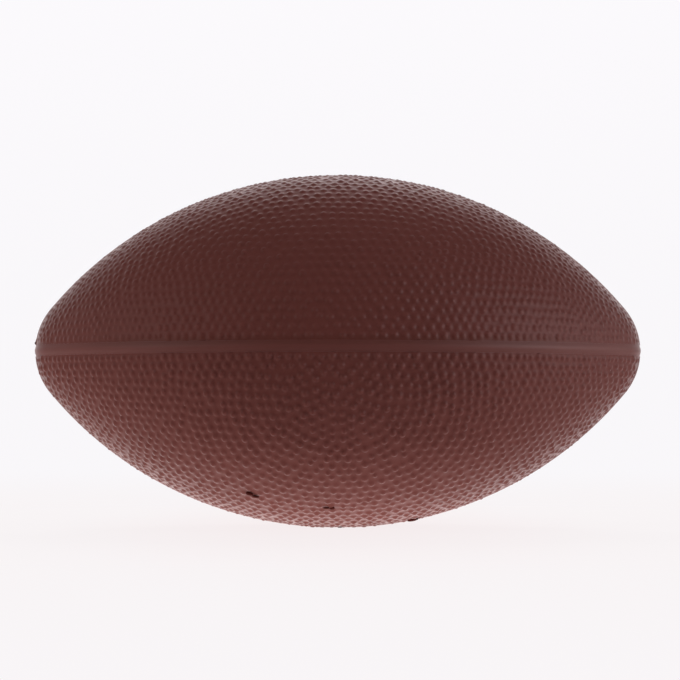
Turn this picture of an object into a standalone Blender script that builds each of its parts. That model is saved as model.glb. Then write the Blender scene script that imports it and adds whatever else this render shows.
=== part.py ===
"""Foam rugby ball: a foam core in two moulded skin halves that knit together in a raised parting bead.

Metres, +Z up. The long axis lies along X and the origin is the middle of the flat that the ball rests on.
"""
import math

import bmesh
import bpy
from mathutils import Vector

# Overall size, over the skin and without the raised ribs
LENGTH = 0.155
DIAMETER = 0.090
NOSE_RADIUS = 0.0165

# Thickness of the moulded skin
SKIN_THICKNESS = 0.0012

# Raised bead on the horizontal parting plane
BEAD_WIDTH = 0.0028
BEAD_HEIGHT = 0.0004

# Raised rib along the crown of each skin half
RIB_WIDTH = 0.0028
RIB_HEIGHT = 0.0004

# Depth to which the lower rib is pressed flat under the ball's own weight
REST_DEPTH = 0.00015

# Gap between pieces that touch on the real ball
CLEARANCE = 0.0003

# Facets around the long axis, along it, round each tip at least, and across half a rib
SECTORS = 40
STATIONS = 32
LEAST_NOSE_STEPS = 4
RIB_STEPS = 2

# Edges sharper than this stay sharp in shading
CREASE_ANGLE = math.radians(40)

# Distances below which points count as lying on a plane: when it cuts them, and when it is closed
CUT_TOLERANCE = 1e-7
FLAT_TOLERANCE = 1e-5

# Height of the long axis above the surface that the ball rests on
AXIS_HEIGHT = DIAMETER / 2 + RIB_HEIGHT - REST_DEPTH

# Half of the opening that the two skin halves leave for the bead
RIM_OFFSET = BEAD_WIDTH / 2 + CLEARANCE

SKIN_BROWN = (0.124, 0.036, 0.029, 1.0)
BEAD_BROWN = (0.120, 0.035, 0.028, 1.0)
FOAM_CREAM = (0.665, 0.527, 0.330, 1.0)


def clear_scene():
    for old in list(bpy.data.objects):
        bpy.data.objects.remove(old)


def finish(name, colour, roughness):
    """A plain non-metallic finish."""
    made = bpy.data.materials.new(name)
    made.use_nodes = True
    shader = made.node_tree.nodes["Principled BSDF"]
    shader.inputs["Base Color"].default_value = colour
    shader.inputs["Roughness"].default_value = roughness
    shader.inputs["Metallic"].default_value = 0.0
    return made


def meridian(inset):
    """Points and outward normals (x, radius) from the left tip to the right, inset from the skin's outside.

    The profile is one long arc that runs tangent into a small arc round each tip. An inset keeps the arcs'
    centres, so that two profiles lie an even distance apart.
    """
    half_length = LENGTH / 2
    half_width = DIAMETER / 2
    nose_centre = half_length - NOSE_RADIUS
    flank_radius = (nose_centre**2 + half_width**2 - NOSE_RADIUS**2) / (2 * (half_width - NOSE_RADIUS))
    flank_centre = half_width - flank_radius
    join_angle = math.asin(nose_centre / (flank_radius - NOSE_RADIUS))

    flank_length = 2 * join_angle * flank_radius
    nose_length = (math.pi / 2 - join_angle) * NOSE_RADIUS
    flank_share = flank_length / (flank_length + 2 * nose_length)
    flank_steps = round(STATIONS * flank_share)
    nose_steps = max(LEAST_NOSE_STEPS, round((STATIONS - flank_steps) / 2))

    nose_angles = [math.pi / 2 + (join_angle - math.pi / 2) * k / nose_steps for k in range(nose_steps)]
    flank_angles = [join_angle * (1 - 2 * k / flank_steps) for k in range(flank_steps + 1)]
    profile = []
    for angle in nose_angles:
        profile.append((-1, -nose_centre, 0.0, NOSE_RADIUS, angle))
    for angle in flank_angles:
        profile.append((-1, 0.0, flank_centre, flank_radius, angle))
    for angle in reversed(nose_angles):
        profile.append((1, nose_centre, 0.0, NOSE_RADIUS, angle))

    points = []
    for side, centre_x, centre_r, radius, angle in profile:
        normal = (side * math.sin(angle), math.cos(angle))
        reach = radius - inset
        points.append(((centre_x + reach * normal[0], centre_r + reach * normal[1]), normal))
    return points


def turned_ball(inset):
    """The closed ball, turned about the long axis."""
    mesh = bmesh.new()
    rings = []
    for (x, radius), normal in meridian(inset)[1:-1]:
        ring = []
        for k in range(SECTORS):
            turn = 2 * math.pi * k / SECTORS
            ring.append(mesh.verts.new((x, radius * math.cos(turn), AXIS_HEIGHT + radius * math.sin(turn))))
        rings.append(ring)
    for near, far in zip(rings, rings[1:]):
        for k in range(SECTORS):
            after = (k + 1) % SECTORS
            mesh.faces.new((near[k], near[after], far[after], far[k]))
    tip = LENGTH / 2 - inset
    for ring, x in ((rings[0], -tip), (rings[-1], tip)):
        pole = mesh.verts.new((x, 0.0, AXIS_HEIGHT))
        for k in range(SECTORS):
            mesh.faces.new((ring[k], ring[(k + 1) % SECTORS], pole))
    bmesh.ops.recalc_face_normals(mesh, faces=mesh.faces)
    return mesh


def cut(mesh, point, normal, drop=False):
    """Split the mesh along a plane, and drop what lies on the normal's side if asked."""
    geometry = mesh.verts[:] + mesh.edges[:] + mesh.faces[:]
    bmesh.ops.bisect_plane(mesh, geom=geometry, plane_co=point, plane_no=normal, dist=CUT_TOLERANCE,
                           clear_outer=drop)


def raise_crown_rib(mesh):
    """Raise a rounded rib in the upright plane through the long axis, over the top, tips and bottom."""
    half = RIB_WIDTH / 2
    for k in range(2 * RIB_STEPS + 1):
        cut(mesh, (0.0, half * (k / RIB_STEPS - 1), 0.0), (0.0, 1.0, 0.0))
    mesh.normal_update()
    for vertex in mesh.verts:
        across = vertex.co.y / half
        if abs(across) < 1:
            outward = Vector((vertex.normal.x, 0.0, vertex.normal.z)).normalized()
            vertex.co += outward * RIB_HEIGHT * (1 - across**2)


def settle(mesh):
    """Press the lower rib flat where the ball rests on it."""
    cut(mesh, (0.0, 0.0, 0.0), (0.0, 0.0, -1.0), drop=True)
    close_flat(mesh, 0.0)


def close_flat(mesh, height):
    """Fill the open edges at one height with a flat face, also between an outer and an inner edge."""
    edges = [edge for edge in mesh.edges
             if edge.is_boundary and all(abs(end.co.z - height) < FLAT_TOLERANCE for end in edge.verts)]
    bmesh.ops.triangle_fill(mesh, edges=edges, use_beauty=True, use_dissolve=False)


def add_piece(name, mesh, material):
    bmesh.ops.recalc_face_normals(mesh, faces=mesh.faces)
    data = bpy.data.meshes.new(name)
    mesh.to_mesh(data)
    mesh.free()
    data.shade_smooth()
    data.set_sharp_from_angle(angle=CREASE_ANGLE)
    data.materials.append(material)
    bpy.context.collection.objects.link(bpy.data.objects.new(name, data))


def foam_core():
    """The soft body that fills the skin."""
    mesh = turned_ball(SKIN_THICKNESS + CLEARANCE)
    add_piece("foam_core", mesh, finish("foam", FOAM_CREAM, 0.95))


def skin_half(name, side):
    """One moulded half of the skin: side is 1 for the upper half and -1 for the lower one."""
    rim_height = AXIS_HEIGHT + side * RIM_OFFSET
    outside = turned_ball(0.0)
    raise_crown_rib(outside)
    inside = turned_ball(SKIN_THICKNESS)
    if side < 0:
        settle(outside)
    for wall in (outside, inside):
        cut(wall, (0.0, 0.0, rim_height), (0.0, 0.0, -side), drop=True)
    bmesh.ops.reverse_faces(inside, faces=inside.faces)

    lining = bpy.data.meshes.new("lining")
    inside.to_mesh(lining)
    inside.free()
    outside.from_mesh(lining)
    bpy.data.meshes.remove(lining)
    close_flat(outside, rim_height)
    add_piece(name, outside, finish(name, SKIN_BROWN, 0.6))


def parting_bead():
    """The raised ring in the parting plane, as deep as the skin and domed where it stands proud."""
    half = BEAD_WIDTH / 2
    section = [(-SKIN_THICKNESS, -half)]
    for k in range(2 * RIB_STEPS + 1):
        across = k / RIB_STEPS - 1
        section.append((BEAD_HEIGHT * (1 - across**2), half * across))
    section.append((-SKIN_THICKNESS, half))

    path = [((x, -radius), (normal[0], -normal[1])) for (x, radius), normal in meridian(0.0)]
    path += [((x, radius), normal) for (x, radius), normal in reversed(meridian(0.0)[1:-1])]
    mesh = bmesh.new()
    loops = []
    for (x, y), normal in path:
        loop = []
        for proud, rise in section:
            loop.append(mesh.verts.new((x + proud * normal[0], y + proud * normal[1], AXIS_HEIGHT + rise)))
        loops.append(loop)
    for near, far in zip(loops, loops[1:] + loops[:1]):
        for k in range(len(section)):
            after = (k + 1) % len(section)
            mesh.faces.new((near[k], near[after], far[after], far[k]))
    add_piece("parting_bead", mesh, finish("parting_bead", BEAD_BROWN, 0.5))


clear_scene()
foam_core()
skin_half("skin_upper", 1)
skin_half("skin_lower", -1)
parting_bead()
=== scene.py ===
import math

import bpy
import numpy as np
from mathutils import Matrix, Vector
from mathutils.geometry import delaunay_2d_cdt


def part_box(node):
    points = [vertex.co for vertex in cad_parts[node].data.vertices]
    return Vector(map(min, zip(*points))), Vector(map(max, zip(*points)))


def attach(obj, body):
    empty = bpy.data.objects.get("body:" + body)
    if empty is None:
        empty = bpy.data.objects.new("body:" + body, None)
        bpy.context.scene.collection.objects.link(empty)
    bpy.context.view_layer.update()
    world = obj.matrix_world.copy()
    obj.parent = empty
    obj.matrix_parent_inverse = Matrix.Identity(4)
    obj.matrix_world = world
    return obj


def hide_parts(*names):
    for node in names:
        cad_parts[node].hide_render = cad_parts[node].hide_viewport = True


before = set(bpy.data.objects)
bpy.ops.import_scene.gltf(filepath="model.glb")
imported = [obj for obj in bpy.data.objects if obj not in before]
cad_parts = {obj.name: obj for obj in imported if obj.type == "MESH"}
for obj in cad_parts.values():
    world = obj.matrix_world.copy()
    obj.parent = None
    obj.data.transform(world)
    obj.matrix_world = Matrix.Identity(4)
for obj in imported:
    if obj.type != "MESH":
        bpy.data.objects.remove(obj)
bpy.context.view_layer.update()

bpy.ops.object.select_all(action="DESELECT")


# Foam core
# The heart of the ball is flexible polyurethane foam that rose in the closed mould and filled it.
# It is cream coloured and open celled, and it bonds to the skin all over, so nothing of it shows.

BEAD_HEIGHT = 0.0004
NOSE_RADIUS = 0.0165
bead_low, bead_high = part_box("parting_bead")
_, core_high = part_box("foam_core")
AXIS_HEIGHT = (bead_low.z + bead_high.z) / 2
HALF_LENGTH = bead_high.x - BEAD_HEIGHT
HALF_WIDTH = bead_high.y - BEAD_HEIGHT

nose_centre = HALF_LENGTH - NOSE_RADIUS
flank_radius = (nose_centre**2 + HALF_WIDTH**2 - NOSE_RADIUS**2) / (2 * (HALF_WIDTH - NOSE_RADIUS))
flank_centre = HALF_WIDTH - flank_radius
join_angle = math.asin(nose_centre / (flank_radius - NOSE_RADIUS))
flank_reach = join_angle * flank_radius
TIP_REACH = flank_reach + (math.pi / 2 - join_angle) * NOSE_RADIUS


def meridian(along):
    """Places (x, radius) and outward normals on the ball's outline, at distances along it from its middle.

    The outline is one long arc that runs tangent into a small arc round each tip.
    """
    reach = np.abs(along)
    side = np.sign(along)
    on_flank = reach <= flank_reach
    angle = np.where(on_flank, reach / flank_radius, join_angle + (reach - flank_reach) / NOSE_RADIUS)
    radius = np.where(on_flank, flank_radius, NOSE_RADIUS)
    x = side * (np.where(on_flank, 0.0, nose_centre) + radius * np.sin(angle))
    r = np.where(on_flank, flank_centre, 0.0) + radius * np.cos(angle)
    return x, r, side * np.sin(angle), np.cos(angle)


def on_ball(along, around, proud):
    """Points raised by proud over the ball; around is the angle up from the front of the parting plane."""
    x, r, normal_x, normal_r = meridian(along)
    r = r + proud * normal_r
    return np.column_stack([x + proud * normal_x, -r * np.cos(around), AXIS_HEIGHT + r * np.sin(around)])


def turned_ball(name, inset, rings, segments):
    """A ball inset from the outline: a sphere with its poles on the long axis, drawn out to the outline."""
    bpy.ops.mesh.primitive_uv_sphere_add(segments=segments, ring_count=rings, radius=1.0)
    ball = bpy.context.object
    ball.name = ball.data.name = name
    co = np.empty(len(ball.data.vertices) * 3)
    ball.data.vertices.foreach_get("co", co)
    co = co.reshape(-1, 3)
    along = TIP_REACH * np.arcsin(np.clip(co[:, 2], -1, 1)) / (math.pi / 2)
    around = np.arctan2(co[:, 1], co[:, 0])
    ball.data.vertices.foreach_set("co", on_ball(along, around, -inset).ravel())
    bpy.ops.object.mode_set(mode="EDIT")
    bpy.ops.mesh.select_all(action="SELECT")
    bpy.ops.mesh.normals_make_consistent(inside=False)
    bpy.ops.object.mode_set(mode="OBJECT")
    return ball


def slice_off(piece, height, up):
    """Cut a piece level at a height and keep what lies above it, or below it if up is -1."""
    bpy.context.view_layer.objects.active = piece
    bpy.ops.object.mode_set(mode="EDIT")
    bpy.ops.mesh.select_all(action="SELECT")
    bpy.ops.mesh.bisect(plane_co=(0, 0, height), plane_no=(0, 0, up), clear_inner=True)
    bpy.ops.object.mode_set(mode="OBJECT")


class Value:
    """A number in a shader, which plain arithmetic can add to, scale and subtract."""

    def __init__(self, sheet, socket):
        self.sheet = sheet
        self.socket = socket

    def maths(self, operation, left, right):
        return self.sheet.node("ShaderNodeMath", {"operation": operation}, {0: left, 1: right})

    def __add__(self, other):
        return self.maths("ADD", self, other)

    def __mul__(self, other):
        return self.maths("MULTIPLY", self, other)

    def __sub__(self, other):
        return self.maths("SUBTRACT", self, other)

    def __rsub__(self, other):
        return self.maths("SUBTRACT", other, self)

    __radd__ = __add__
    __rmul__ = __mul__


class Sheet:
    """The node sheet of a finish or of the surroundings, filled node by node."""

    def __init__(self, owner):
        owner.use_nodes = True
        self.owner = owner
        self.tree = owner.node_tree

    def node(self, kind, settings=None, sockets=None, out=0):
        made = self.tree.nodes.new(kind)
        for name, value in (settings or {}).items():
            setattr(made, name, value)
        self.feed(made, sockets or {})
        return Value(self, made.outputs[out])

    def feed(self, node, sockets):
        for name, value in sockets.items():
            if isinstance(value, Value):
                self.tree.links.new(value.socket, node.inputs[name])
            else:
                node.inputs[name].default_value = value

    def place(self):
        return self.node("ShaderNodeTexCoord", out="Object")

    def noise(self, size, detail=2.0, roughness=0.5):
        """Soft noise from 0 to 1 whose blotches are about size across."""
        return self.node("ShaderNodeTexNoise", None, {
            "Vector": self.place(), "Scale": 1 / size, "Detail": detail, "Roughness": roughness})

    def mix(self, factor, first, second):
        return self.node("ShaderNodeMix", {"data_type": "RGBA"}, {0: factor, 6: first, 7: second}, out=2)

    def ease(self, value, low, high, to_low=0.0, to_high=1.0):
        """A smooth step from one level to another while value goes from low to high."""
        return self.node("ShaderNodeMapRange", {"interpolation_type": "SMOOTHSTEP"}, {
            "Value": value, "From Min": low, "From Max": high, "To Min": to_low, "To Max": to_high})

    def bump(self, height, distance):
        return self.node("ShaderNodeBump", None, {"Height": height, "Distance": distance})

    def shader(self, sockets):
        self.feed(self.tree.nodes["Principled BSDF"], sockets)


def finish(name):
    return Sheet(bpy.data.materials.new(name))


core = turned_ball("foam_core_body", HALF_WIDTH - core_high.y, rings=72, segments=96)
bpy.ops.object.shade_smooth()

LIGHT_CREAM = (0.70, 0.55, 0.34, 1)
DARK_CREAM = (0.60, 0.46, 0.27, 1)
CELL_SIZE = 0.0009
foam = finish("open_cell_foam")
cells = foam.node("ShaderNodeTexVoronoi", {"feature": "DISTANCE_TO_EDGE"},
                  {"Vector": foam.place(), "Scale": 1 / CELL_SIZE})
foam.shader({
    "Base Color": foam.mix(foam.noise(0.012), LIGHT_CREAM, DARK_CREAM),
    "Roughness": 0.95,
    "Normal": foam.bump(cells, 0.0003),
})
core.data.materials.append(foam.owner)
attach(core, "root")
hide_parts("foam_core")


# Skin halves
# A tough brown polyurethane coat that each mould half leaves bonded to the foam. The mould gives it a crown
# rib, and round pebbles in rows that follow the seams above and fan out from the middle of the seam below.

SKIN_THICKNESS = 0.0012
SEAM_GAP = 0.000005
RIB_HALF = 0.0014
RIB_HEIGHT = 0.0004
RIM = bead_high.z - AXIS_HEIGHT + SEAM_GAP
RIDGE_HALF = 0.0019
PITCH = 0.00256
TIP_PITCH = 0.68
PITCH_FALLS = (0.010, 0.062)
FIRST_ROW = 0.00248
ROW_STEP = PITCH * math.sqrt(3) / 2
FAN_CLEAR = FIRST_ROW + 0.8 * ROW_STEP
FAN_CENTRE = 0.011
FAN_ROWS = 59
FAN_END = 0.97 * TIP_REACH
SETTLING_ROUNDS = 80
ROUNDS_PER_SEARCH = 8
SEARCH_REACH = 2.1 * PITCH
PUSH_REACH = 0.75
PUSH = 0.35 * PITCH
STRAY_BEFORE = 0.03
STRAY_AFTER = 0.08
CROWDED = 0.6
PEBBLE_RADIUS = 0.0012
MOST_OF_GAP = 0.485
RADIUS_SPREAD = 0.16
HEIGHT_SPREAD = 0.25
MOST_OVAL = 1.2
SWELL_AROUND = (0.50, 0.85)
SWELL_ALONG = (0.02, 0.05)
# Share of the radius, count of points and share of the height
PEBBLE_RINGS = ((0, 1, 1), (0.42, 5, 0.72), (0.75, 10, 0.24), (1, 10, 0))


def ridge(off):
    """Height of the smooth ridge over a seam, at a distance off its middle."""
    return RIB_HEIGHT * (1 + np.cos(math.pi * np.clip(np.abs(off) / RIDGE_HALF, 0, 1))) / 2


stations = np.linspace(-TIP_REACH, TIP_REACH, 4001)[1:-1]
station_x, station_r, _, _ = meridian(stations)


def pitch_at(x):
    """Distance between pebbles, which lie closer together towards the tips."""
    return PITCH * np.interp(np.abs(x), PITCH_FALLS, (1.0, TIP_PITCH))


def spread(along, around, offset):
    """Places a pitch apart on a line over the ball, as (x, out, up) from the long axis."""
    x, r, _, _ = meridian(along)
    line = np.column_stack([x, r * np.cos(around), r * np.sin(around)])
    steps = np.linalg.norm(np.diff(line, axis=0), axis=1) / pitch_at(x[1:])
    run = np.concatenate([[0], np.cumsum(steps)])
    count = max(2, round(run[-1]))
    wanted = (np.arange(count) + offset) * run[-1] / count
    return np.column_stack([np.interp(wanted, run, line[:, k]) for k in range(3)])


def nested_rows():
    """Rows in closed loops, each a step further in from the edges of the panel."""
    rows = []
    inward = FIRST_ROW
    while inward < HALF_WIDTH * math.pi / 4:
        held = station_r * math.pi / 4 > inward
        there = stations[held]
        lower = inward / station_r[held]
        along = np.concatenate([there, there[::-1], there[:1]])
        around = np.concatenate([lower, math.pi / 2 - lower[::-1], lower[:1]])
        rows.append(spread(along, around, 0.5 * (len(rows) % 2)))
        inward += ROW_STEP
    return np.vstack(rows)


def fanned_rows():
    """Rows in arcs about a point beside the middle of the seam, with one row along each edge of the panel."""
    lower = FIRST_ROW / station_r
    held = lower < math.pi / 4
    there = stations[held]
    rows = [spread(there, lower[held], 0.5), spread(there, math.pi / 2 - lower[held], 0.5)]
    turn = np.linspace(-math.pi / 2, 1.5 * math.pi, 1081)
    for k in range(FAN_ROWS):
        reach = ROW_STEP * (k + 0.5)
        along = reach * np.cos(turn)
        across = FAN_CENTRE + reach * np.sin(turn)
        inside = np.abs(along) < FAN_END
        along, across = along[inside], across[inside]
        r = meridian(along)[1]
        inside = (across > FAN_CLEAR) & (across < r * math.pi / 2 - FAN_CLEAR)
        parts = np.split(np.arange(len(along)), np.nonzero(np.diff(inside.astype(int)))[0] + 1)
        for part in parts:
            if len(part) > 3 and inside[part[0]]:
                rows.append(spread(along[part], across[part] / r[part], 0.5))
    return np.vstack(rows)


def keep_in_panel(spots):
    """Bring pebble places back to the ball's surface, clear of the seams."""
    limit = station_x[station_r > FIRST_ROW * math.sqrt(2)].max()
    x = np.clip(spots[:, 0], -limit, limit)
    r = np.interp(x, station_x, station_r)
    least = np.arcsin(np.minimum(FIRST_ROW / r, math.sqrt(0.5)))
    around = np.clip(np.arctan2(spots[:, 2], spots[:, 1]), least, math.pi / 2 - least)
    return np.column_stack([x, r * np.cos(around), r * np.sin(around)])


def close_pairs(spots, reach):
    """Pairs of pebbles within reach of each other, with their distances."""
    square = (spots**2).sum(axis=1)
    apart = np.sqrt(np.maximum(square[:, None] + square[None] - 2 * spots @ spots.T, 0))
    np.fill_diagonal(apart, np.inf)
    first, second = np.nonzero(apart < reach)
    return first, second, apart[first, second]


def settle_pebbles(spots, seed):
    """Let neighbouring pebbles push each other apart until they lie evenly."""
    draw = np.random.default_rng(seed)
    spots = keep_in_panel(spots + draw.normal(0, STRAY_BEFORE * PITCH, spots.shape))
    for turn in range(SETTLING_ROUNDS):
        if turn % ROUNDS_PER_SEARCH == 0:
            first, second, _ = close_pairs(spots, SEARCH_REACH)
            reach = PUSH_REACH * (pitch_at(spots[first, 0]) + pitch_at(spots[second, 0]))
        gap = spots[first] - spots[second]
        apart = np.linalg.norm(gap, axis=1)
        push = np.maximum(1 - apart / reach, 0) ** 2 / np.maximum(apart, 1e-9)
        move = np.column_stack([np.bincount(first, gap[:, k] * push, len(spots)) for k in range(3)])
        spots = keep_in_panel(spots + PUSH * move)
    spots = keep_in_panel(spots + draw.normal(0, STRAY_AFTER, spots.shape) * pitch_at(spots[:, :1]))
    first, second, apart = close_pairs(spots, PITCH)
    crowded = apart < CROWDED * pitch_at(spots[first, 0])
    return np.delete(spots, np.unique(np.maximum(first, second)[crowded]), axis=0)


def pebbled_panel(spots, pebble_height, swell, seed):
    """One quarter of the skin's outside: its points and triangles."""
    first, _, apart = close_pairs(spots, 2 * PITCH)
    nearest = np.full(len(spots), np.inf)
    np.minimum.at(nearest, first, apart)
    draw = np.random.default_rng(seed)
    radius = PEBBLE_RADIUS * draw.uniform(1 - RADIUS_SPREAD, 1 + RADIUS_SPREAD, len(spots))
    radius = np.minimum(radius, MOST_OF_GAP * nearest)
    height = pebble_height * radius / PEBBLE_RADIUS
    height = height * draw.uniform(1 - HEIGHT_SPREAD, 1 + HEIGHT_SPREAD, len(spots))
    oval = np.minimum(PITCH / pitch_at(spots[:, 0]), MOST_OVAL)
    spot_along = np.interp(spots[:, 0], station_x, stations)
    spot_around = np.arctan2(spots[:, 2], spots[:, 1])
    # The pebbles stand highest beside the middle of the seam
    beside_seam = np.interp(spot_around, SWELL_AROUND, (1, 0))
    height *= 1 + swell * beside_seam * np.interp(np.abs(spot_along), SWELL_ALONG, (1, 0))

    along, around, proud = [], [], []

    def add(a, v, p):
        for store, value in ((along, a), (around, v), (proud, p)):
            store.append(np.broadcast_to(value, np.shape(a)).ravel())

    # The panel's edge: along the bead's rim, and back along the crown
    tip = stations[(stations > 0) & (station_r > RIM)].max()
    rim_stations = tip * np.sin(np.linspace(-math.pi / 2, math.pi / 2, 361))
    add(rim_stations, np.arcsin(np.minimum(RIM / meridian(rim_stations)[1], 1)), 0.0)
    crown_stations = rim_stations[1:-1][::-1]
    add(crown_stations, math.pi / 2, 0.0)
    edge_count = len(rim_stations) + len(crown_stations)

    # The crown rib, in lines beside the crown
    for share in (0.25, 0.5, 0.75, 1.0):
        out = RIB_HALF * share
        a = crown_stations[meridian(crown_stations)[1] > math.hypot(out, RIM * 1.15)]
        add(a, np.arccos(out / meridian(a)[1]), 0.0)

    # The pebbles, as rings round each one's middle
    for ring, count, level in PEBBLE_RINGS:
        turn = (np.arange(count) + 0.5 * (ring < 1)) * 2 * math.pi / count
        a = spot_along[:, None] + radius[:, None] * ring * np.cos(turn)
        v = spot_around[:, None] + (radius * oval)[:, None] * ring * np.sin(turn) / meridian(a)[1]
        add(a, v, height[:, None] * level)

    along, around, proud = map(np.concatenate, (along, around, proud))
    r = meridian(along)[1]
    proud = proud + np.maximum(ridge(r * np.sin(around)), ridge(r * np.cos(around)))

    # Triangles are drawn on a flat map of the panel that keeps angles true
    stretch = np.concatenate([[0], np.cumsum(np.diff(stations) * 2 / (station_r[1:] + station_r[:-1]))])
    chart = np.column_stack([np.interp(along, stations, stretch), around])
    edge = [(k, (k + 1) % edge_count) for k in range(edge_count)]
    _, _, faces, origins, _, _ = delaunay_2d_cdt([tuple(p) for p in chart], edge, [], 1, 1e-9)
    source = np.array([o[0] for o in origins])
    return on_ball(along, around, proud)[source], np.array(faces)


def skin_half(name, up, panel):
    """One moulded half: two mirrored panels that meet at the crown, a lining, and the rim between them."""
    panel_points, panel_faces = panel
    points, faces = [], []
    for out in (1, -1):
        place = panel_points * (1, out, 1)
        place[:, 2] = AXIS_HEIGHT + (place[:, 2] - AXIS_HEIGHT) * up
        points.append(place)
        faces.append((panel_faces if out * up > 0 else panel_faces[:, ::-1]) + len(panel_points) * (out < 0))
    points = np.vstack(points)
    points[:, 2] = np.maximum(points[:, 2], 0)
    data = bpy.data.meshes.new(name)
    data.from_pydata(points.tolist(), [], np.vstack(faces).tolist())
    half = bpy.data.objects.new(name, data)
    bpy.context.collection.objects.link(half)

    lining = turned_ball("lining", SKIN_THICKNESS, rings=48, segments=64)
    slice_off(lining, AXIS_HEIGHT + up * RIM, up)
    bpy.ops.object.mode_set(mode="EDIT")
    bpy.ops.mesh.select_all(action="SELECT")
    bpy.ops.mesh.flip_normals()
    bpy.ops.object.mode_set(mode="OBJECT")

    lining.select_set(True)
    half.select_set(True)
    bpy.context.view_layer.objects.active = half
    bpy.ops.object.join()
    bpy.ops.object.mode_set(mode="EDIT")
    bpy.ops.mesh.select_all(action="SELECT")
    bpy.ops.mesh.remove_doubles(threshold=1e-6)
    bpy.ops.mesh.select_all(action="DESELECT")
    bpy.ops.mesh.select_non_manifold(extend=False, use_wire=False, use_multi_face=False,
                                     use_non_contiguous=False, use_verts=False)
    bpy.ops.mesh.fill()
    bpy.ops.object.mode_set(mode="OBJECT")
    bpy.ops.object.shade_smooth_by_angle(angle=math.radians(75))
    bpy.ops.object.select_all(action="DESELECT")
    return half


# Painted shade: skin and bead are darkened along the seam's upper side near the middle of the ball, where the
# crease lies in shade
SEAM_SHADE_ENDS = (0.045, 0.07)
SEAM_SHADE_STARTS = (0.0, 0.0008)
MOST_SEAM_SHADE = 0.35


def seam_painted_shade(coat, low, high):
    """How much painted shade darkens the seam's upper side near the middle of the ball, within a height above
    the parting plane.
    """
    along = coat.node("ShaderNodeSeparateXYZ", None, {0: coat.place()}, out="X")
    height = coat.node("ShaderNodeSeparateXYZ", None, {0: coat.place()}, out="Z") - AXIS_HEIGHT
    near, far = SEAM_SHADE_ENDS
    held = coat.ease(along, -far, -near) * coat.ease(along, near, far, 1.0, 0.0)
    return MOST_SEAM_SHADE * held * coat.ease(height, *SEAM_SHADE_STARTS) * coat.ease(height, low, high, 1.0, 0.0)


DARK_BROWN = (0.116, 0.0314, 0.0251, 1)
LIGHT_BROWN = (0.1315, 0.0362, 0.0291, 1)
# Colour of the painted shade along the seam
SEAM_SHADE_BROWN = (0.075, 0.020, 0.013, 1)
SOFT_SHEEN = {"Sheen Weight": 0.60, "Sheen Roughness": 0.30, "Sheen Tint": (1.0, 0.87, 0.86, 1)}
skin_coat = finish("brown_pebbled_skin")
blotch = skin_coat.noise(0.025, detail=3)
brown = skin_coat.mix(blotch, DARK_BROWN, LIGHT_BROWN)
grain = skin_coat.noise(0.00025, detail=3, roughness=0.6)
skin_coat.shader({
    # Painted shade darkens the skin along the seam's upper side
    "Base Color": skin_coat.mix(seam_painted_shade(skin_coat, 0.0018, 0.0034), brown, SEAM_SHADE_BROWN),
    "Roughness": 0.38 + 0.10 * blotch,
    "Normal": skin_coat.bump(grain, 0.00002),
    "Specular IOR Level": 0.085,
    **SOFT_SHEEN,
})

# Side, way up, layout and height of the pebbles, their swell beside the seam, and the seed of their chance
HALVES = (
    ("skin_upper", 1, nested_rows, 0.00037, 0.4, 7),
    ("skin_lower", -1, fanned_rows, 0.00051, 0.7, 8),
)
for name, up, rows, pebble_height, swell, seed in HALVES:
    panel = pebbled_panel(settle_pebbles(rows(), seed), pebble_height, swell, seed)
    half = skin_half(name + "_pebbled", up, panel)
    half.data.materials.clear()
    half.data.materials.append(skin_coat.owner)
    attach(half, "root")
    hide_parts(name)


# Parting bead
# Where the two mould halves meet, their coats run together into one smooth raised ring of the same
# polyurethane. It runs from tip to tip and back, as deep as the skin, and is trimmed by hand.

BEAD_HALF = bead_high.z - AXIS_HEIGHT
CROWN_POINTS = 14
FLANK_STEPS = 64
NOSE_STEPS = 24
section = [(-SKIN_THICKNESS, -BEAD_HALF)]
for across in np.linspace(-BEAD_HALF, BEAD_HALF, CROWN_POINTS):
    section.append((ridge(across), across))
section.append((-SKIN_THICKNESS, BEAD_HALF))

# One quarter is spun from the middle of the front round the flank's centre, then round the left tip's
bpy.ops.mesh.primitive_circle_add(vertices=len(section), radius=BEAD_HALF)
bead = bpy.context.object
bead.name = bead.data.name = "parting_bead_ring"
for point, (proud, rise) in zip(bead.data.vertices, section):
    point.co = (0, -HALF_WIDTH - proud, AXIS_HEIGHT + rise)
bpy.ops.object.mode_set(mode="EDIT")
bpy.ops.mesh.select_all(action="SELECT")
bpy.ops.mesh.spin(steps=FLANK_STEPS, angle=join_angle, center=(0, -flank_centre, AXIS_HEIGHT), axis=(0, 0, 1))
bpy.ops.mesh.spin(steps=NOSE_STEPS, angle=math.pi / 2 - join_angle, center=(-nose_centre, 0, AXIS_HEIGHT),
                  axis=(0, 0, 1))
bpy.ops.object.mode_set(mode="OBJECT")
quarters = bead.modifiers.new("quarters", "MIRROR")
quarters.use_axis = (True, True, False)
quarters.merge_threshold = 1e-6
bpy.ops.object.modifier_apply(modifier=quarters.name)
bpy.ops.object.mode_set(mode="EDIT")
bpy.ops.mesh.select_all(action="SELECT")
bpy.ops.mesh.remove_doubles(threshold=1e-6)
bpy.ops.mesh.normals_make_consistent(inside=False)
bpy.ops.object.mode_set(mode="OBJECT")
bpy.ops.object.shade_smooth_by_angle(angle=math.radians(40))
bpy.ops.object.select_all(action="DESELECT")

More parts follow.
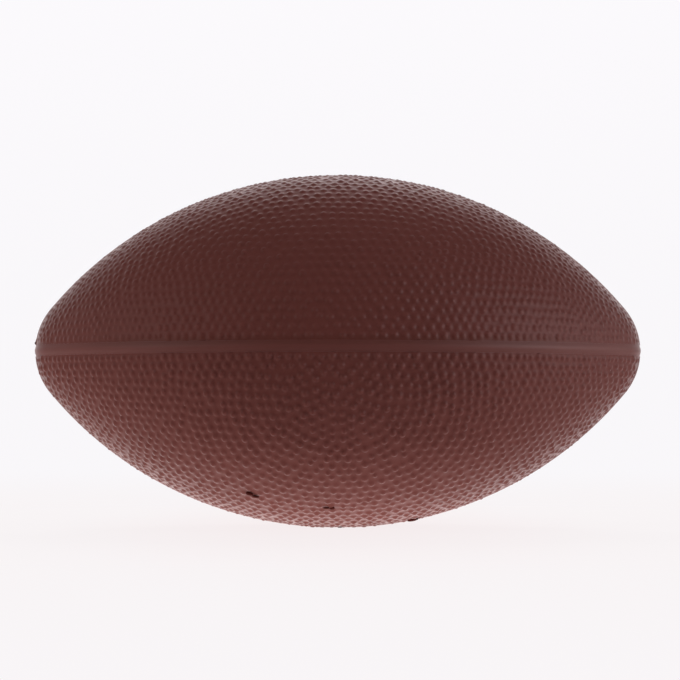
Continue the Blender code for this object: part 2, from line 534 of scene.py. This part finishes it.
bead_coat = finish("smooth_bead")
brown = bead_coat.mix(bead_coat.noise(0.01), DARK_BROWN, LIGHT_BROWN)
bead_coat.shader({
    # Painted shade darkens the bead's upper flank near the middle of the ball
    "Base Color": bead_coat.mix(seam_painted_shade(bead_coat, 0.002, 0.003), brown, SEAM_SHADE_BROWN),
    "Roughness": 0.5,
    "Specular IOR Level": 0.18,
    "Normal": bead_coat.bump(bead_coat.noise(0.0006, detail=3), 0.00002),
    **SOFT_SHEEN,
})
bead.data.materials.append(bead_coat.owner)
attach(bead, "root")
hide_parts("parting_bead")


# Mould nibs
# Small dark scraps of hardened polyurethane that crept into the mould's vents and stayed on the skin when
# the ball was pulled out. They are fused to the pebbles of the lower half and to one tip.

# Distance along the ball from its middle, angle up from the seam, length, width and thickness
NIBS = (
    (-0.0219, -57, 0.0021, 0.0009, 0.0010),
    (-0.0204, -58, 0.0020, 0.0005, 0.0007),
    (-0.0014, -60.6, 0.0014, 0.0008, 0.0009),
    (-0.0028, -60.6, 0.0018, 0.0004, 0.0006),
    (0.0005, -86, 0.0012, 0.0009, 0.0006),
    (0.0192, -83, 0.0030, 0.0010, 0.0008),
    (0.002 - TIP_REACH, 90, 0.0008, 0.0010, 0.0006),
)
NIB_FOOT = 0.0004
DARK_SCRAP = (0.042, 0.006, 0.004, 1)
LIGHT_SCRAP = (0.070, 0.012, 0.008, 1)
scraps = []
for k, (along, angle, length, width, thickness) in enumerate(NIBS):
    bpy.ops.mesh.primitive_ico_sphere_add(subdivisions=3, radius=0.5)
    scrap = bpy.context.object
    bpy.ops.object.mode_set(mode="EDIT")
    bpy.ops.mesh.select_all(action="SELECT")
    bpy.ops.transform.vertex_random(offset=0.06, seed=k)
    bpy.ops.mesh.vertices_smooth(factor=0.5, repeat=2)
    bpy.ops.object.mode_set(mode="OBJECT")
    co = np.array([v.co for v in scrap.data.vertices]) * (length, width, thickness)
    reach = along + co[:, 0]
    around = math.radians(angle) + co[:, 1] / meridian(reach)[1]
    place = on_ball(reach, around, NIB_FOOT + co[:, 2])
    place[:, 2] = np.maximum(place[:, 2], 0)
    scrap.data.vertices.foreach_set("co", place.ravel())
    scraps.append(scrap)
bpy.ops.object.select_all(action="DESELECT")
for scrap in scraps:
    scrap.select_set(True)
bpy.context.view_layer.objects.active = scraps[0]
bpy.ops.object.join()
nibs = bpy.context.object
nibs.name = nibs.data.name = "mould_nibs"
bpy.ops.object.mode_set(mode="EDIT")
bpy.ops.mesh.select_all(action="SELECT")
bpy.ops.mesh.normals_make_consistent(inside=False)
bpy.ops.object.mode_set(mode="OBJECT")
bpy.ops.object.shade_smooth()
bpy.ops.object.select_all(action="DESELECT")
nib_coat = finish("hardened_scrap")
nib_coat.shader({
    "Base Color": nib_coat.mix(nib_coat.noise(0.0008), DARK_SCRAP, LIGHT_SCRAP),
    "Roughness": 0.5,
    "Specular IOR Level": 0.05,
})
nibs.data.materials.append(nib_coat.owner)
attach(nibs, "root")


# Table top, light and camera
# The ball lies on a white table, which glows in pools round it, in a small light tent with white walls: a
# soft lamp to each side in front, one overhead, one above and behind, and a white card at the right. It is
# seen level from the front.

# The table glows, unseen by the camera, in pools under and before the ball and beyond its tips, standing in
# for light thrown back:
# place, squeeze along X, reach and strength
TABLE_GLOW_POOLS = (
    ((0.0, 0.0), 0.6, (0.012, 0.055), 1.48),
    ((0.0, -0.05), 0.5, (0.0, 0.05), 0.62),
    ((-0.11, 0.0), 1.0, (0.03, 0.12), 0.80),
    ((0.115, 0.0), 1.0, (0.03, 0.12), 0.50),
)
TABLE_SHOWN = 0.96
TABLE_WHITE = (0.93, 0.905, 0.905, 1)
TABLE_DIM = (0.10, 0.10, 0.10, 1)
# Painted bounce light and faint shadow: the table shows pinker just by the ball
BOUNCE_PINK_WHITE = (0.935, 0.868, 0.875, 1)
ROSE_WHITE = (0.940, 0.905, 0.914, 1)
FAR_WHITE = (0.947, 0.930, 0.953, 1)
bpy.ops.mesh.primitive_plane_add(size=8.0, location=(0, 0, 0))
table = bpy.context.object
table.name = "table_top"
white = finish("white_table")


def off_middle(middle, squeeze):
    """Distance over the table from a place on it, with the table squeezed along X."""
    squeezed = white.node("ShaderNodeVectorMath", {"operation": "MULTIPLY"},
                          {0: white.place(), 1: (squeeze, 1.0, 1.0)})
    return white.node("ShaderNodeVectorMath", {"operation": "DISTANCE"},
                      {0: squeezed, 1: (middle[0] * squeeze, middle[1], 0.0)}, out="Value")


path = white.tree.nodes.new("ShaderNodeLightPath")
seen = Value(white, path.outputs["Is Camera Ray"]) + Value(white, path.outputs["Is Transmission Ray"])
away = off_middle((0.0, 0.0), 0.6)
pool_glow = 0.0
for middle, squeeze, (near, far), strength in TABLE_GLOW_POOLS:
    pool_glow = strength * white.ease(off_middle(middle, squeeze), near, far, 1.0, 0.0) + pool_glow
matt = white.node("ShaderNodeBsdfDiffuse", None, {"Color": TABLE_WHITE})
# The table glows here though it is no lamp, lighting the ball from below; the camera sees only its plain
# white
glow = white.node("ShaderNodeEmission", None, {"Color": (1.0, 1.0, 1.0, 1), "Strength": pool_glow})
# Painted bounce light and shadow: the table is tinted pinker close by the ball
painted_bounce_by_ball = white.mix(white.ease(off_middle((0.0, 0.0), 3.0), 0.02, 0.25), BOUNCE_PINK_WHITE, ROSE_WHITE)
shown = white.node("ShaderNodeEmission", None, {
    "Color": white.mix(white.ease(away, 0.06, 0.7), painted_bounce_by_ball, FAR_WHITE), "Strength": 1.0})
forward = white.node("ShaderNodeSeparateXYZ", None, {0: white.place()}, out="Y")
returned = white.node("ShaderNodeBsdfDiffuse", None, {
    "Color": white.mix(white.ease(forward, -0.17, -0.07), TABLE_DIM, TABLE_WHITE)})
lit = white.node("ShaderNodeAddShader", None, {0: returned, 1: glow})
fade = TABLE_SHOWN + (1 - TABLE_SHOWN) * white.ease(away, 0.06, 0.16)
pale = white.node("ShaderNodeMixShader", None, {0: fade, 1: matt, 2: shown})
surface = white.node("ShaderNodeMixShader", None, {0: seen, 1: lit, 2: pale})
white.tree.links.new(surface.socket, white.tree.nodes["Material Output"].inputs["Surface"])
table.data.materials.append(white.owner)

FRONT = 0.195
BACK = 0.42
CEILING_SHADE = 0.8
CEILING_WHITE = (0.974, 0.956, 0.982, 1)
scene = bpy.context.scene
scene.view_settings.view_transform = "Standard"
scene.world = bpy.data.worlds.new("studio")
studio = Sheet(scene.world)
path = studio.tree.nodes.new("ShaderNodeLightPath")
direction = studio.node("ShaderNodeTexCoord", out="Generated")
backward = studio.node("ShaderNodeSeparateXYZ", None, {0: direction}, out="Y")
upward = studio.node("ShaderNodeSeparateXYZ", None, {0: direction}, out="Z")
wall = studio.ease(backward, -0.4, 0.3)
overhead = studio.ease(upward, 0.4, 0.85)
seen = Value(studio, path.outputs["Is Camera Ray"]) + wall * (
    Value(studio, path.outputs["Is Glossy Ray"]) + Value(studio, path.outputs["Is Transmission Ray"]))
dim = FRONT + BACK * studio.ease(backward, 0.0, 0.7) * (1 - overhead)
shown = 1 - CEILING_SHADE * overhead
studio.feed(studio.tree.nodes["Background"], {
    "Color": studio.mix(studio.ease(upward, 0.0, 0.25), FAR_WHITE, CEILING_WHITE),
    "Strength": dim + seen * (shown - dim),
})

LAMP_DISTANCE = 0.55
LAMP_SIZE = 0.3
# Turn from the front towards the right, height angle, power and tint
LAMPS = {
    "left_softbox": (-60, 14, 0.80, (1.0, 1.0, 1.0)),
    "right_softbox": (60, 14, 1.10, (0.93, 1.0, 1.08)),
    "top_softbox": (0, 75, 0.52, (1.0, 1.0, 1.0)),
    "back_softbox": (180, 41, 2.5, (1.0, 1.0, 1.0)),
    "right_card": (75, 0, 1.35, (1.0, 1.0, 1.0)),
}
for name, (turn, height, power, tint) in LAMPS.items():
    turn = math.radians(turn)
    height = math.radians(height)
    level = math.cos(height)
    outward = Vector((math.sin(turn) * level, -math.cos(turn) * level, math.sin(height)))
    lamp = bpy.data.lights.new(name, "AREA")
    lamp.shape = "SQUARE"
    lamp.size = LAMP_SIZE
    lamp.energy = power
    lamp.color = tint
    softbox = bpy.data.objects.new(name, lamp)
    softbox.location = Vector((0, 0, AXIS_HEIGHT)) + LAMP_DISTANCE * outward
    softbox.rotation_euler = outward.to_track_quat("Z", "Y").to_euler()
    # The card shows only in reflections, and the two upper lamps show in none
    softbox.visible_glossy = name not in ("top_softbox", "back_softbox")
    softbox.visible_diffuse = name != "right_card"
    bpy.context.collection.objects.link(softbox)

FRAME_PIXELS = 680
BALL_PIXELS = 605.3
BALL_MIDDLE = (337.8, 351)
CAMERA_DISTANCE = 0.62
CAMERA_HEIGHT = 0.028
SENSOR = 36.0
frame_width = 2 * bead_high.x * FRAME_PIXELS / BALL_PIXELS
camera_data = bpy.data.cameras.new("camera")
camera_data.sensor_width = SENSOR
camera_data.lens = SENSOR * CAMERA_DISTANCE / frame_width
camera = bpy.data.objects.new("camera", camera_data)
bpy.context.collection.objects.link(camera)
pixel = frame_width / FRAME_PIXELS
rise_angle = math.atan((AXIS_HEIGHT - CAMERA_HEIGHT) / CAMERA_DISTANCE)
tilt = rise_angle + math.atan((BALL_MIDDLE[1] - FRAME_PIXELS / 2) * pixel / CAMERA_DISTANCE)
camera.location = ((FRAME_PIXELS / 2 - BALL_MIDDLE[0]) * pixel, -CAMERA_DISTANCE, CAMERA_HEIGHT)
camera.rotation_euler = (math.pi / 2 + tilt, 0, 0)
scene.camera = camera
